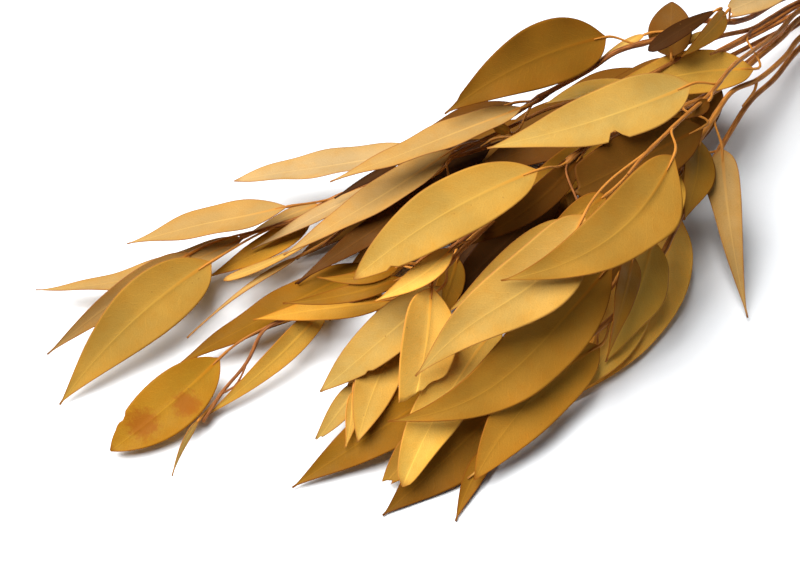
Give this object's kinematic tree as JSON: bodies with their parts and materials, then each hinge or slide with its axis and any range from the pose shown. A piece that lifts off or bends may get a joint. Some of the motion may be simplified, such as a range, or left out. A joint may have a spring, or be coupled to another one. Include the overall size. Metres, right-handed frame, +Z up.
{
  "type": "bunch of dried eucalyptus",
  "caption": "Long-leaved dried eucalyptus branches in a tied bunch lying on its side, with golden ochre leaves fanning out from bare woody stems.",
  "frame": {"origin": "on the resting surface, straight below the middle of the rubber band", "axes": "+X along the bunch towards the cut stem ends, -X towards the leaves, -Y the front, +Z up from the resting surface"},
  "size_m": [0.6863, 0.2819, 0.1076],
  "materials": {
    "dried_leaf": "matt to slightly waxy dried leaf, golden ochre with paler midribs and reddish edges",
    "stem_wood": "satin reddish brown twig bark",
    "rubber_band": "dull natural rubber"
  },
  "bodies": {
    "root": {"branch_1": "dried_leaf", "branch_2": "dried_leaf", "branch_3": "dried_leaf", "branch_4": "dried_leaf", "branch_5": "dried_leaf", "branch_6": "dried_leaf", "branch_7": "dried_leaf", "branch_8": "dried_leaf", "branch_9": "dried_leaf", "branch_10": "dried_leaf", "rubber_band": "rubber_band"}
  },
  "joints": []
}
